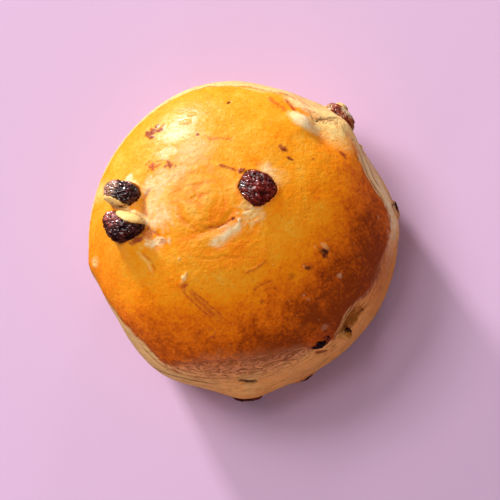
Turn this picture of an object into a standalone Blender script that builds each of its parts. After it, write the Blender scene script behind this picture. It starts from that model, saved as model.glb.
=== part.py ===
"""Raisin bun: one domed, egg-washed dough body that stands on its flat foot, with the raisins that show in its crust.

Every raisin is a solid of its own, and the dough has a pocket for each. Units are metres, +Z is up, and the
origin is the middle of the flat foot.
"""

import math
from dataclasses import dataclass

import bmesh
import bpy
import numpy as np
from mathutils import Matrix, Vector, noise

# Driving dimensions of the dough body
BUN_RADIUS = 0.0483
BUN_HEIGHT = 0.0500
GIRTH_HEIGHT = 0.018  # height of the widest line
FOOT_RADIUS = 0.0390  # where the side rolls under to the flat foot
DOME_POWER = 2.2  # 2 is an ellipse, more is squarer
TUCK_POWER = 2.2

# The polar angles, from the apex, that share the body's mesh among dome, side and foot
DOME_END = math.radians(105)
TUCK_END = math.radians(145)

# Relief of the dough
CAP_LIP = 0.0004  # how far the browned cap stands out over the pale side
LUMP_RISE = 0.0004  # soft unevenness all over
LUMP_SIZE = 0.014
FOOT_FADE = math.radians(12)  # the relief dies out this far before the foot

# Fit of the raisins in the dough
POCKET_GAP = 0.00035
FOOT_CLEARANCE = 0.0006  # no raisin reaches lower than this

BUN_CELLS = 23  # cells along each side of the six-sided sphere
RAISIN_CELLS = 5
NUDGE = 1e-3  # step, in radians, for slopes
SEED = 11.0


@dataclass(frozen=True)
class Lobe:
    """A stretch of the outline, in plan, that stands out of the round, or falls short of it."""

    azimuth: float
    spread: float
    share: float


@dataclass(frozen=True)
class Swell:
    """A rounded rise in the dough, or a dent where rise is negative. Turn is measured from level."""

    azimuth: float
    polar: float
    length: float
    width: float
    rise: float
    turn: float = 0.0


@dataclass(frozen=True)
class Fold:
    """A groove that follows an arc in the dough round a centre, with a raised lip on its outer side."""

    azimuth: float
    polar: float
    radius: float
    start: float
    end: float
    width: float
    depth: float
    lip: float


@dataclass(frozen=True)
class Raisin:
    """A raisin in its pocket.

    Turn is measured from level, and tip lifts the raisin's far end out of the dough. Proud is how far its middle
    lies outside the dough's surface.
    """

    name: str
    azimuth: float
    polar: float
    length: float
    width: float
    thickness: float
    turn: float = 0.0
    tip: float = 0.0
    proud: float = 0.0
    bend: float = 0.0
    seed: float = 0.0


LOBES = (
    Lobe(azimuth=35, spread=16, share=-0.045),
    Lobe(azimuth=72, spread=12, share=-0.025),
    Lobe(azimuth=112, spread=26, share=0.030),
    Lobe(azimuth=207, spread=20, share=-0.048),
    Lobe(azimuth=335, spread=24, share=0.015),
)

SWELLS = (
    Swell(azimuth=150, polar=12, length=0.0140, width=0.0110, rise=0.0007, turn=20),  # crown
    Swell(azimuth=272, polar=110, length=0.0080, width=0.0060, rise=0.0026),  # dough over the front foot raisin
    Swell(azimuth=358, polar=104, length=0.0055, width=0.0050, rise=0.0011),  # dough by the right-hand raisin
    Swell(azimuth=192, polar=92, length=0.0050, width=0.0060, rise=0.0012),  # left shoulder
    Swell(azimuth=51, polar=70, length=0.0042, width=0.0028, rise=0.0015, turn=-20),  # pale blister
    Swell(azimuth=40, polar=88, length=0.0080, width=0.0028, rise=0.0010, turn=12),  # torn ridge by the blister
    Swell(azimuth=52, polar=88, length=0.0060, width=0.0035, rise=-0.0010),  # hollow behind the ridge
    Swell(azimuth=319, polar=91, length=0.0062, width=0.0026, rise=-0.0016, turn=6),  # scoop in the side
    Swell(azimuth=331, polar=103, length=0.0060, width=0.0040, rise=0.0005),  # dough under the scoop
    Swell(azimuth=110, polar=63, length=0.0026, width=0.0018, rise=0.0006),  # bubble in the glaze
    Swell(azimuth=339, polar=62, length=0.0018, width=0.0016, rise=0.0009),  # crumb-sized lump
    Swell(azimuth=174, polar=60, length=0.0110, width=0.0060, rise=0.0011),  # dough drawn up round two raisins
    Swell(azimuth=173, polar=60, length=0.0032, width=0.0016, rise=0.0010, turn=80),  # dough between the two
    Swell(azimuth=24, polar=29, length=0.0080, width=0.0070, rise=0.0004, turn=46),  # dough round the centre raisin
    Swell(azimuth=60, polar=97, length=0.0060, width=0.0050, rise=-0.0006),
    Swell(azimuth=140, polar=100, length=0.0120, width=0.0070, rise=0.0007),
    Swell(azimuth=232, polar=104, length=0.0110, width=0.0060, rise=-0.0006),
)

FOLDS = (
    Fold(azimuth=135, polar=11, radius=0.0105, start=38, end=110, width=0.0020, depth=0.0008, lip=0.0008),
    Fold(azimuth=135, polar=11, radius=0.0185, start=-58, end=8, width=0.0032, depth=0.0009, lip=0.0003),
)

RAISINS = (
    Raisin("raisin_left_upper", 164, 58, 0.0134, 0.0084, 0.0078, turn=92, tip=-12, proud=0.0010, bend=0.06, seed=1),
    Raisin("raisin_left_lower", 184.5, 56, 0.0150, 0.0096, 0.0078, turn=68, tip=-12, proud=0.0012, bend=0.22, seed=2),
    Raisin("raisin_centre", 23.5, 29.5, 0.0126, 0.0106, 0.0052, turn=46, proud=-0.0005, seed=3),
    Raisin("raisin_back_right", 47, 98, 0.0120, 0.0074, 0.0068, proud=0.0008, bend=0.05, seed=4),
    Raisin("raisin_front_right", 306, 89, 0.0078, 0.0050, 0.0050, turn=-25, proud=-0.0010, seed=5),
    Raisin("raisin_front_foot", 271, 126, 0.0112, 0.0070, 0.0060, proud=0.0003, bend=0.08, seed=6),
    Raisin("raisin_front_right_foot", 293, 123, 0.0085, 0.0060, 0.0055, proud=-0.0011, seed=7),
    Raisin("raisin_right", 5.5, 106, 0.0070, 0.0052, 0.0046, proud=0.0000, seed=8),
    Raisin("raisin_scoop", 316, 96.5, 0.0046, 0.0038, 0.0040, turn=30, proud=-0.0005, seed=9),
    Raisin("raisin_back", 96, 112, 0.0105, 0.0075, 0.0055, turn=20, proud=0.0002, bend=0.12, seed=12),
    Raisin("raisin_back_left", 140, 118, 0.0090, 0.0070, 0.0055, turn=-15, proud=0.0000, seed=13),
)

CAP_EDGE = 0.026  # mean height of the browned cap's lower edge
CAP_WAVES = ((1, 40, 0.0030), (3, 100, 0.0014), (7, 10, 0.0007))  # waves round the edge, phase and rise

CRUST = (0.52, 0.20, 0.03, 1.0)
RAISIN_SKIN = (0.045, 0.012, 0.014, 1.0)


def unit(vectors):
    """These vectors at length one."""
    return vectors / np.linalg.norm(vectors, axis=-1, keepdims=True)


def turned(angle):
    """An angle, or angles, brought to between half a turn each way."""
    return (angle + math.pi) % (2 * math.pi) - math.pi


def smooth(share):
    """A soft step from 0 to 1 as share goes from 0 to 1."""
    share = np.clip(share, 0, 1)
    return share * share * (3 - 2 * share)


def direction(azimuth, polar):
    """The unit vector at an azimuth and a polar angle, in degrees."""
    a, p = math.radians(azimuth), math.radians(polar)
    return np.array([math.sin(p) * math.cos(a), math.sin(p) * math.sin(a), math.cos(p)])


def superellipse(angle, across, up, power):
    """Points of a quarter of a superellipse, at angles from its upright axis."""
    sine, cosine = np.sin(angle), np.cos(angle)
    reach = ((np.abs(sine) / across) ** power + (np.abs(cosine) / up) ** power) ** (-1 / power)
    return reach * sine, reach * cosine


def outline(azimuth):
    """The share of the mean radius that the bun has at each azimuth."""
    return 1 + sum(
        lobe.share * np.exp(-((turned(azimuth - math.radians(lobe.azimuth)) / math.radians(lobe.spread)) ** 2))
        for lobe in LOBES
    )


def plain_form(directions):
    """The bun before its relief: a superelliptic dome, a side that rolls under, and a flat foot."""
    polar = np.arccos(np.clip(directions[:, 2], -1, 1))
    azimuth = np.arctan2(directions[:, 1], directions[:, 0])
    shape = outline(azimuth)
    girth, foot = BUN_RADIUS * shape, FOOT_RADIUS * shape

    dome_angle = np.clip(polar / DOME_END, 0, 1) * math.pi / 2
    dome_across, dome_up = superellipse(dome_angle, girth, BUN_HEIGHT - GIRTH_HEIGHT, DOME_POWER)
    tuck_angle = np.clip((polar - DOME_END) / (TUCK_END - DOME_END), 0, 1) * math.pi / 2
    tuck_down, tuck_across = superellipse(tuck_angle, GIRTH_HEIGHT, girth - foot, TUCK_POWER)
    inward = np.clip((polar - TUCK_END) / (math.pi - TUCK_END), 0, 1)

    in_dome, in_tuck = polar <= DOME_END, polar <= TUCK_END
    radius = np.where(in_dome, dome_across, np.where(in_tuck, foot + tuck_across, foot * (1 - inward)))
    height = np.where(in_dome, GIRTH_HEIGHT + dome_up, np.where(in_tuck, GIRTH_HEIGHT - tuck_down, 0))
    return np.stack([radius * np.cos(azimuth), radius * np.sin(azimuth), height], axis=1)


def plain_normals(directions):
    """Outward normals of the plain form, from its slope each way."""
    upright = np.abs(directions[:, 2:]) > 0.9
    helper = np.where(upright, [[1.0, 0.0, 0.0]], [[0.0, 0.0, 1.0]])
    first = unit(np.cross(helper, directions))
    second = np.cross(directions, first)
    middle = plain_form(directions)
    one_way = plain_form(unit(directions + NUDGE * first)) - middle
    other_way = plain_form(unit(directions + NUDGE * second)) - middle
    return unit(np.cross(one_way, other_way))


def local_frame(azimuth, polar):
    """A point of the plain form, with its level, uphill and outward directions."""
    towards = direction(azimuth, polar)[None]
    point, outward = plain_form(towards)[0], plain_normals(towards)[0]
    a = math.radians(azimuth)
    level = np.array([-math.sin(a), math.cos(a), 0.0])
    level = unit(level - level.dot(outward) * outward)
    return point, level, np.cross(outward, level), outward


def local_places(points, azimuth, polar, turn):
    """How far the points lie along, across and off the surface at a place, with along turned from level."""
    middle, level, uphill, outward = local_frame(azimuth, polar)
    offset = points - middle
    t = math.radians(turn)
    along = offset @ (math.cos(t) * level + math.sin(t) * uphill)
    across = offset @ (math.cos(t) * uphill - math.sin(t) * level)
    return along, across, offset @ outward


def swell_rise(points, swell):
    """The rise of one swell at these points of the plain form."""
    along, across, off = local_places(points, swell.azimuth, swell.polar, swell.turn)
    reach = (along / swell.length) ** 2 + (across / swell.width) ** 2 + (off / (2 * swell.length)) ** 2
    return swell.rise * np.exp(-reach)


def fold_rise(points, fold):
    """The groove and the lip of one fold, fading at the fold's two ends."""
    along, across, off = local_places(points, fold.azimuth, fold.polar, 0)
    distance = np.hypot(along, across) - fold.radius
    angle = np.degrees(np.arctan2(across, along)) % 360
    middle, half = (fold.start + fold.end) / 2, (fold.end - fold.start) / 2
    past = np.abs((angle - middle + 180) % 360 - 180) / half
    fade = smooth(1.5 * (1.2 - past)) * (np.abs(off) < fold.radius)
    groove = -fold.depth * np.exp(-((distance / (0.5 * fold.width)) ** 2))
    lip = fold.lip * np.exp(-(((distance - fold.width) / fold.width) ** 2))
    return fade * (groove + lip)


def cap_edge(azimuth):
    """The height at which the browned cap ends."""
    waves = sum(rise * np.cos(count * azimuth - math.radians(phase)) for count, phase, rise in CAP_WAVES)
    return CAP_EDGE + waves


def relief(directions, points):
    """How far the dough stands outside its plain form."""
    azimuth = np.arctan2(directions[:, 1], directions[:, 0])
    polar = np.arccos(np.clip(directions[:, 2], -1, 1))
    rise = sum(swell_rise(points, swell) for swell in SWELLS)
    rise += sum(fold_rise(points, fold) for fold in FOLDS)
    above = (points[:, 2] - cap_edge(azimuth)) / (4 * CAP_LIP)
    rise += CAP_LIP * smooth(above) * (1 - smooth(above / 12))
    shift = Vector((SEED, SEED, SEED))
    rise += LUMP_RISE * np.array([noise.noise(Vector(p) / LUMP_SIZE + shift) for p in points])
    return rise * (1 - smooth((polar - TUCK_END + FOOT_FADE) / FOOT_FADE))


def new_object(name, collection, skin):
    """A mesh object with a material, in a collection."""
    made = bpy.data.objects.new(name, bpy.data.meshes.new(name))
    made.data.materials.append(skin)
    collection.objects.link(made)
    return made


def fill_with_sphere(mesh, cells):
    """Makes the mesh a six-sided sphere of even cells, and returns its points as unit vectors."""
    body = bmesh.new()
    bmesh.ops.create_cube(body, size=2)
    bmesh.ops.subdivide_edges(body, edges=body.edges[:], cuts=cells - 1, use_grid_fill=True)
    bmesh.ops.recalc_face_normals(body, faces=body.faces)
    body.to_mesh(mesh)
    body.free()
    cube = np.array([v.co for v in mesh.vertices])
    return unit(np.tan(cube * math.pi / 4))


def set_points(mesh, points):
    """Moves the mesh's points, and shades it smooth."""
    mesh.vertices.foreach_set("co", points.astype(np.float32).ravel())
    mesh.shade_smooth()
    mesh.update()


def dough_points(directions):
    """The bun's surface with its relief, and never below the plane that it stands on."""
    plain = plain_form(directions)
    normals = plain_normals(directions)
    points = plain + normals * relief(directions, plain)[:, None]
    points[:, 2] = np.maximum(points[:, 2], 0)
    points[plain[:, 2] == 0, 2] = 0
    return points


def raisin_points(raisin, directions, wrinkled):
    """A raisin in its own axes, long side along X: a flattened, bent berry, with shrunken folds if wrinkled."""
    half = np.array([raisin.length, raisin.width, raisin.thickness]) / 2
    scale = np.ones(len(directions))
    if wrinkled:
        around = np.arctan2(directions[:, 2], directions[:, 1])
        swirl = 3 * np.sin(2.2 * directions[:, 0] + raisin.seed)
        ridges = np.abs(np.sin(2.5 * around + swirl + raisin.seed)) - 0.6
        scale += 0.075 * ridges * (1 - directions[:, 0] ** 2)
    else:
        half = half + POCKET_GAP
        scale += 0.045
    points = directions * scale[:, None] * half
    points[:, 1] += raisin.bend * (points[:, 0] ** 2) / half[0]
    return points


def seat(raisin):
    """The matrix that puts a raisin in its place on the bun."""
    point, level, uphill, outward = local_frame(raisin.azimuth, raisin.polar)
    t = math.radians(raisin.turn)
    along = math.cos(t) * level + math.sin(t) * uphill
    across = math.cos(t) * uphill - math.sin(t) * level
    axes = Matrix([along, across, outward]).transposed().to_4x4()
    tipped = Matrix.Rotation(math.radians(-raisin.tip), 4, "Y")
    return Matrix.Translation(point + raisin.proud * outward) @ axes @ tipped


def make_raisin(raisin, collection, skin):
    """The raisin's solid."""
    made = new_object(raisin.name, collection, skin)
    set_points(made.data, raisin_points(raisin, fill_with_sphere(made.data, RAISIN_CELLS), wrinkled=True))
    made.matrix_world = seat(raisin)
    return made


def make_pocket(raisin, collection, skin):
    """The cutter for the raisin's pocket: the same berry, smooth and a little larger."""
    made = new_object("pocket_" + raisin.name, collection, skin)
    set_points(made.data, raisin_points(raisin, fill_with_sphere(made.data, RAISIN_CELLS), wrinkled=False))
    made.matrix_world = seat(raisin)
    made.hide_render = True
    made.display_type = "WIRE"
    return made


def make_bun(collection, pockets, skin):
    """The dough body, with a pocket cut for each raisin."""
    made = new_object("bun", collection, skin)
    directions = fill_with_sphere(made.data, BUN_CELLS)
    set_points(made.data, dough_points(directions))
    cut = made.modifiers.new("pockets", "BOOLEAN")
    cut.operation = "DIFFERENCE"
    cut.operand_type = "COLLECTION"
    cut.collection = pockets
    cut.solver = "EXACT"
    return made


def material(name, colour, roughness):
    """A plain Principled material."""
    made = bpy.data.materials.new(name)
    made.use_nodes = True
    shader = made.node_tree.nodes["Principled BSDF"]
    shader.inputs["Base Color"].default_value = colour
    shader.inputs["Roughness"].default_value = roughness
    shader.inputs["Metallic"].default_value = 0.0
    return made


def new_collection(name):
    """A collection of the scene."""
    made = bpy.data.collections.new(name)
    bpy.context.scene.collection.children.link(made)
    return made


def main():
    """Clears the scene and builds the bun with its raisins."""
    for old in list(bpy.data.objects):
        bpy.data.objects.remove(old)
    parts, cutters = new_collection("raisin_bun"), new_collection("pockets")
    crust = material("crust", CRUST, 0.35)
    skin = material("raisin_skin", RAISIN_SKIN, 0.4)
    for raisin in RAISINS:
        make_raisin(raisin, parts, skin)
        make_pocket(raisin, cutters, skin)
    make_bun(parts, cutters, crust)


main()
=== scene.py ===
"""Raisin bun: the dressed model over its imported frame, with a floor, studio lights and a camera."""

import logging
import math
from dataclasses import dataclass
from enum import Enum
from typing import Any, Iterable, Sequence

import bmesh
import bpy
import numpy as np
from mathutils import Matrix, Vector, noise
from mathutils.bvhtree import BVHTree


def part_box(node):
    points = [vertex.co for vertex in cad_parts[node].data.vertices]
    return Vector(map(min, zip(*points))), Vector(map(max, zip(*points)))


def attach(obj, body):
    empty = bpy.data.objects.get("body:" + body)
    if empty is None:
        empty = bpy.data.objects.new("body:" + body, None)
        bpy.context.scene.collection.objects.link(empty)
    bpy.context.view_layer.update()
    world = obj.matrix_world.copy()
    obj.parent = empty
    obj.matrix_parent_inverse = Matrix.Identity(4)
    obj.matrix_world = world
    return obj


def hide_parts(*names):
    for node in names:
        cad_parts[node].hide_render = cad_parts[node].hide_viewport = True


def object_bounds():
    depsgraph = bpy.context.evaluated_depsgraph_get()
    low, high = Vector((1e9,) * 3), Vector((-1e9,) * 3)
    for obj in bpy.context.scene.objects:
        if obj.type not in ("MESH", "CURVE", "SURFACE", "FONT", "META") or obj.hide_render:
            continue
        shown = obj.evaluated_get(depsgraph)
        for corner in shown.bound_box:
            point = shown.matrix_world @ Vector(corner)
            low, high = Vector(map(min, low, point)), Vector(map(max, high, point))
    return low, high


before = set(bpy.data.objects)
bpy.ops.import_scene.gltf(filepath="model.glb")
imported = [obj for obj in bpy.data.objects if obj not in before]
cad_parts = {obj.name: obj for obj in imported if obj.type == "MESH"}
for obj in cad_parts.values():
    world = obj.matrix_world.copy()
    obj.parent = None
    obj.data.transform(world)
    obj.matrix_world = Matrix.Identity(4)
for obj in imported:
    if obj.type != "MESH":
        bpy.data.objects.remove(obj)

Array = np.ndarray
Colour = tuple[float, float, float]

log = logging.getLogger("raisin_bun")
CAD_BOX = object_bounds()
MM = 0.001
# Of the crust's tints, the second and third are pale dough and chalky film that also paint highlights and light. The
# fourth and fifth are stains and scorching that also paint shade.
TINTS = ("olive", "cream", "bloom", "stain", "char")


# ---- small maths


def unit(vectors: Array) -> Array:
    """These vectors at length one."""
    return vectors / np.linalg.norm(vectors, axis=-1, keepdims=True)


def smooth(share: Array) -> Array:
    """A soft step from 0 to 1 as share goes from 0 to 1."""
    share = np.clip(share, 0.0, 1.0)
    return share * share * (3.0 - 2.0 * share)


def turned(angle: Array) -> Array:
    """Angles in radians, brought to between half a turn each way."""
    return (angle + math.pi) % (2.0 * math.pi) - math.pi


def direction(azimuth: float, polar: float) -> Array:
    """The unit vector at an azimuth and a polar angle, in degrees."""
    a, p = math.radians(azimuth), math.radians(polar)
    return np.array([math.sin(p) * math.cos(a), math.sin(p) * math.sin(a), math.cos(p)])


def superellipse(angle: Array, across: Array | float, up: Array | float, power: float) -> tuple[Array, Array]:
    """Points of a superellipse, as across and up, at angles in radians from its upright axis. Power 2 is an ellipse."""
    sine, cosine = np.sin(angle), np.cos(angle)
    reach = ((np.abs(sine) / across) ** power + (np.abs(cosine) / up) ** power) ** (-1.0 / power)
    return reach * sine, reach * cosine


def lumps(points: Array, size: float, seed: float, octaves: int = 1) -> Array:
    """Soft noise, about -1 to 1, at points in metres, with lumps of this size, shifted by seed; octaves are finer."""
    shift = Vector((seed, seed, seed))
    total = np.zeros(len(points))
    for octave in range(octaves):
        scale = 2.0**octave / size
        total += np.array([noise.noise(Vector(p) * scale + shift) for p in points]) / 2.0**octave
    return total


# ---- the bun's form


@dataclass(frozen=True)
class Lobe:
    """A stretch of the outline, in plan, that stands out of the round, or falls short of it."""

    azimuth: float
    spread: float
    share: float


@dataclass(frozen=True)
class Seat:
    """A place on the dough: its point, and its level, uphill and outward directions."""

    point: Array
    level: Array
    uphill: Array
    outward: Array

    def places(self, points: Array, turn: float) -> tuple[Array, Array, Array]:
        """How far points are along, across and off the surface here, where turn is from level, in degrees."""
        offset = points - self.point
        t = math.radians(turn)
        along = offset @ (math.cos(t) * self.level + math.sin(t) * self.uphill)
        across = offset @ (math.cos(t) * self.uphill - math.sin(t) * self.level)
        return along, across, offset @ self.outward


@dataclass(frozen=True)
class BunForm:
    """The bun before its relief: a superelliptic dome, a side that rolls under, and a flat foot."""

    radius: float = 0.0483
    height: float = 0.0500
    girth_height: float = 0.018
    foot_radius: float = 0.0390
    dome_power: float = 2.2
    tuck_power: float = 2.2
    dome_end: float = math.radians(105)
    tuck_end: float = math.radians(145)
    lobes: tuple[Lobe, ...] = (
        Lobe(35, 16, -0.045),
        Lobe(72, 12, -0.025),
        Lobe(112, 26, 0.030),
        Lobe(207, 20, -0.048),
        Lobe(335, 24, 0.015),
    )

    def outline(self, azimuth: Array) -> Array:
        """The share of the mean radius that the bun has at each azimuth."""
        total = np.ones_like(azimuth)
        for lobe in self.lobes:
            gap = turned(azimuth - math.radians(lobe.azimuth)) / math.radians(lobe.spread)
            total = total + lobe.share * np.exp(-(gap**2))
        return total

    def plain(self, directions: Array) -> Array:
        """The surface point for each direction.

        Args:
            directions: Unit vectors from the bun's middle.

        Returns:
            Points in metres.
        """
        polar = np.arccos(np.clip(directions[:, 2], -1.0, 1.0))
        azimuth = np.arctan2(directions[:, 1], directions[:, 0])
        shape = self.outline(azimuth)
        girth, foot = self.radius * shape, self.foot_radius * shape
        dome_angle = np.clip(polar / self.dome_end, 0, 1) * math.pi / 2
        dome_across, dome_up = superellipse(dome_angle, girth, self.height - self.girth_height, self.dome_power)
        share = np.clip((polar - self.dome_end) / (self.tuck_end - self.dome_end), 0, 1)
        tuck_down, tuck_across = superellipse(share * math.pi / 2, self.girth_height, girth - foot, self.tuck_power)
        inward = np.clip((polar - self.tuck_end) / (math.pi - self.tuck_end), 0, 1)
        in_dome, in_tuck = polar <= self.dome_end, polar <= self.tuck_end
        radius = np.where(in_dome, dome_across, np.where(in_tuck, foot + tuck_across, foot * (1 - inward)))
        height = np.where(in_dome, self.girth_height + dome_up, np.where(in_tuck, self.girth_height - tuck_down, 0))
        return np.stack([radius * np.cos(azimuth), radius * np.sin(azimuth), height], axis=1)

    def normals(self, directions: Array) -> Array:
        """Outward normals of the plain form, from its slope each way."""
        step = 1e-3
        helper = np.where(np.abs(directions[:, 2:]) > 0.9, [[1.0, 0.0, 0.0]], [[0.0, 0.0, 1.0]])
        first = unit(np.cross(helper, directions))
        second = np.cross(directions, first)
        middle = self.plain(directions)
        one_way = self.plain(unit(directions + step * first)) - middle
        other_way = self.plain(unit(directions + step * second)) - middle
        return unit(np.cross(one_way, other_way))

    def seat(self, azimuth: float, polar: float) -> Seat:
        """The place at an azimuth and a polar angle, in degrees."""
        towards = direction(azimuth, polar)[None]
        outward = self.normals(towards)[0]
        a = math.radians(azimuth)
        level = np.array([-math.sin(a), math.cos(a), 0.0])
        level = unit(level - level.dot(outward) * outward)
        return Seat(self.plain(towards)[0], level, np.cross(outward, level), outward)


@dataclass(frozen=True)
class Swell:
    """A rounded rise in the dough, in millimetres, or a dent where rise is negative. Turn is measured from level."""

    azimuth: float
    polar: float
    length: float
    width: float
    rise: float = 0.0
    turn: float = 0.0

    def mask(self, form: BunForm, points: Array) -> Array:
        """One at the middle, fading to nothing round it."""
        return np.exp(-reach_squared(self, form, points))


@dataclass(frozen=True)
class Fold:
    """A groove along an arc round a centre, in millimetres, with a raised lip on its outer side."""

    azimuth: float
    polar: float
    radius: float
    start: float
    end: float
    width: float
    depth: float
    lip: float

    def rise(self, form: BunForm, points: Array) -> Array:
        """The groove and the lip, fading at the fold's two ends."""
        along, across, off = form.seat(self.azimuth, self.polar).places(points, 0)
        radius, width = self.radius * MM, self.width * MM
        distance = np.hypot(along, across) - radius
        angle = np.degrees(np.arctan2(across, along)) % 360
        middle, half = (self.start + self.end) / 2, (self.end - self.start) / 2
        past = np.abs((angle - middle + 180) % 360 - 180) / half
        fade = smooth(1.5 * (1.2 - past)) * (np.abs(off) < radius)
        groove = -self.depth * MM * np.exp(-((distance / (0.5 * width)) ** 2))
        lip = self.lip * MM * np.exp(-(((distance - width) / width) ** 2))
        return fade * (groove + lip)


@dataclass(frozen=True)
class Swirl:
    """Soft arcs left in the crown where the dough was rolled, round a centre."""

    azimuth: float = 150.0
    polar: float = 13.0
    reach: float = 17 * MM
    spacing: float = 2.6 * MM
    rise_by: float = 0.15 * MM

    def rise(self, form: BunForm, points: Array) -> Array:
        """The arcs, fading out towards their reach."""
        along, across, off = form.seat(self.azimuth, self.polar).places(points, 0)
        distance, angle = np.hypot(along, across), np.arctan2(across, along)
        turns = np.stack([distance / self.spacing, 1.2 * np.cos(angle), 1.2 * np.sin(angle)], axis=1)
        arcs = lumps(turns, 1.0, 31.0, octaves=2)
        return self.rise_by * arcs * np.exp(-((distance / self.reach) ** 2)) * (off > -12 * MM)


@dataclass(frozen=True, kw_only=True)
class Tint:
    """How strongly a line or a spot takes each of the crust's tints, from 0 to 1. The pale tints also paint highlights
    and light, and the dark ones also paint shade.
    """

    olive: float = 0.0
    # Pale dough, and painted highlights and lit faces.
    cream: float = 0.0
    # Chalky pale film, and painted highlights, glints and light on shaded parts.
    bloom: float = 0.0
    # Red-brown stain, and painted shade in grooves and beside raisins.
    stain: float = 0.0
    # Scorched specks, and painted shade in pits and gaps.
    char: float = 0.0

    def colour(self, tints: dict[str, Array], share: Array) -> None:
        """Adds these tints where share says."""
        for name in TINTS:
            tints[name] = np.maximum(tints[name], getattr(self, name) * share)


@dataclass(frozen=True)
class Stroke(Tint):
    """A thin line drawn in the dough through places on it, tapered at both ends.

    Path holds azimuth and polar angles by turns, in degrees. Width, rise and wobble are in millimetres, and a negative
    rise is a groove.
    """

    path: tuple[float, ...]
    width: float
    rise: float = 0.0
    wobble: float = 0.4

    def mask(self, form: BunForm, points: Array, shake: Array) -> Array:
        """How near each point is to the line.

        Args:
            form: The bun.
            points: Places in metres.
            shake: Noise that makes the line wander.

        Returns:
            One value from 0 to 1 for each point.
        """
        azimuths = np.degrees(np.unwrap(np.radians(self.path[::2])))
        count = len(azimuths)
        spots = np.linspace(0, count - 1, 4 * count)
        turns, polars = (np.interp(spots, range(count), angles) for angles in (azimuths, self.path[1::2]))
        towards = np.array([direction(a, p) for a, p in zip(turns, polars)])
        knots, normals = form.plain(towards), form.normals(towards)
        near, side, share = (np.full(len(points), start) for start in (1.0, 0.0, 0.0))
        lengths = np.linalg.norm(np.diff(knots, axis=0), axis=1)
        run = np.concatenate([[0.0], np.cumsum(lengths)])
        for i, length in enumerate(lengths):
            along = (knots[i + 1] - knots[i]) / length
            t = np.clip((points - knots[i]) @ along, 0.0, length)
            offset = points - (knots[i] + t[:, None] * along)
            distance = np.linalg.norm(offset, axis=1)
            closer = distance < near
            near = np.where(closer, distance, near)
            side = np.where(closer, offset @ np.cross(normals[i], along), side)
            share = np.where(closer, (run[i] + t) / run[-1], share)
        taper = smooth(4.0 * share) * smooth(4.0 * (1.0 - share))
        side = side + self.wobble * MM * shake
        near = np.hypot(side, np.sqrt(np.maximum(near**2 - side**2, 0.0)) * 0.7)
        return taper * np.exp(-((near / (self.width * MM * (0.35 + 0.65 * taper))) ** 2))


@dataclass(frozen=True)
class Mark(Tint):
    """A small spot in the crust, such as a raisin's skin showing through, a scorched bubble, a smear of pale dough, a
    painted highlight, a painted glint and a patch of painted shade.

    Length, width and rise are in millimetres.
    """

    azimuth: float
    polar: float
    length: float
    width: float
    turn: float = 0.0
    rise: float = 0.0
    bake: float = 0.0
    ragged: float = 0.5
    soft: float = 0.7

    def mask(self, form: BunForm, points: Array, shake: Array) -> Array:
        """One inside, with an edge that fades fast and that noise from -1 to 1 makes ragged."""
        reach = np.sqrt(reach_squared(self, form, points))
        return smooth((0.9 + self.soft / 2 - reach + self.ragged * shake) / self.soft)


def reach_squared(spot: Swell | Mark, form: BunForm, points: Array) -> Array:
    """How far points are from the middle of a spot, squared, where 1 is its rim."""
    along, across, off = form.seat(spot.azimuth, spot.polar).places(points, spot.turn)
    length, width = spot.length * MM, spot.width * MM
    return (along / length) ** 2 + (across / width) ** 2 + (off / (2 * length)) ** 2


# ---- node tools


class Wire:
    """A socket in a node tree, with arithmetic that adds Math nodes."""

    def __init__(self, nodes: "Nodes", socket: bpy.types.NodeSocket) -> None:
        self.nodes = nodes
        self.socket = socket

    def math(self, operation: str, *values: "Wire | float") -> "Wire":
        """A Math node with this socket first."""
        return self.nodes.math(operation, self, *values)

    def __add__(self, other: "Wire | float") -> "Wire":
        """Sum."""
        return self.math("ADD", other)

    __radd__ = __add__

    def __sub__(self, other: "Wire | float") -> "Wire":
        """Difference."""
        return self.math("SUBTRACT", other)

    def __rsub__(self, other: float) -> "Wire":
        """Difference from a number."""
        return self.nodes.math("SUBTRACT", other, self)

    def __mul__(self, other: "Wire | float") -> "Wire":
        """Product."""
        return self.math("MULTIPLY", other)

    __rmul__ = __mul__

    def __rtruediv__(self, other: float) -> "Wire":
        """A number over this."""
        return self.nodes.math("DIVIDE", other, self)

    def __pow__(self, other: "Wire | float") -> "Wire":
        """Power."""
        return self.math("POWER", other)

    def ridged(self) -> "Wire":
        """How far noise is from its middle value."""
        return (self - 0.5).math("ABSOLUTE")

    def limited(self, low: float = 0.0, high: float = 1.0) -> "Wire":
        """This value kept between two limits."""
        return self.math("MAXIMUM", low).math("MINIMUM", high)

    def step(self, low: float, high: float) -> "Wire":
        """A soft step from 0 at low to 1 at high."""
        inputs = {"Value": self, "From Min": low, "From Max": high}
        return self.nodes.node("ShaderNodeMapRange", {"interpolation_type": "SMOOTHSTEP"}, inputs)

    def sibling(self, output: int) -> "Wire":
        """Another output of this socket's node."""
        return Wire(self.nodes, self.socket.node.outputs[output])


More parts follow.
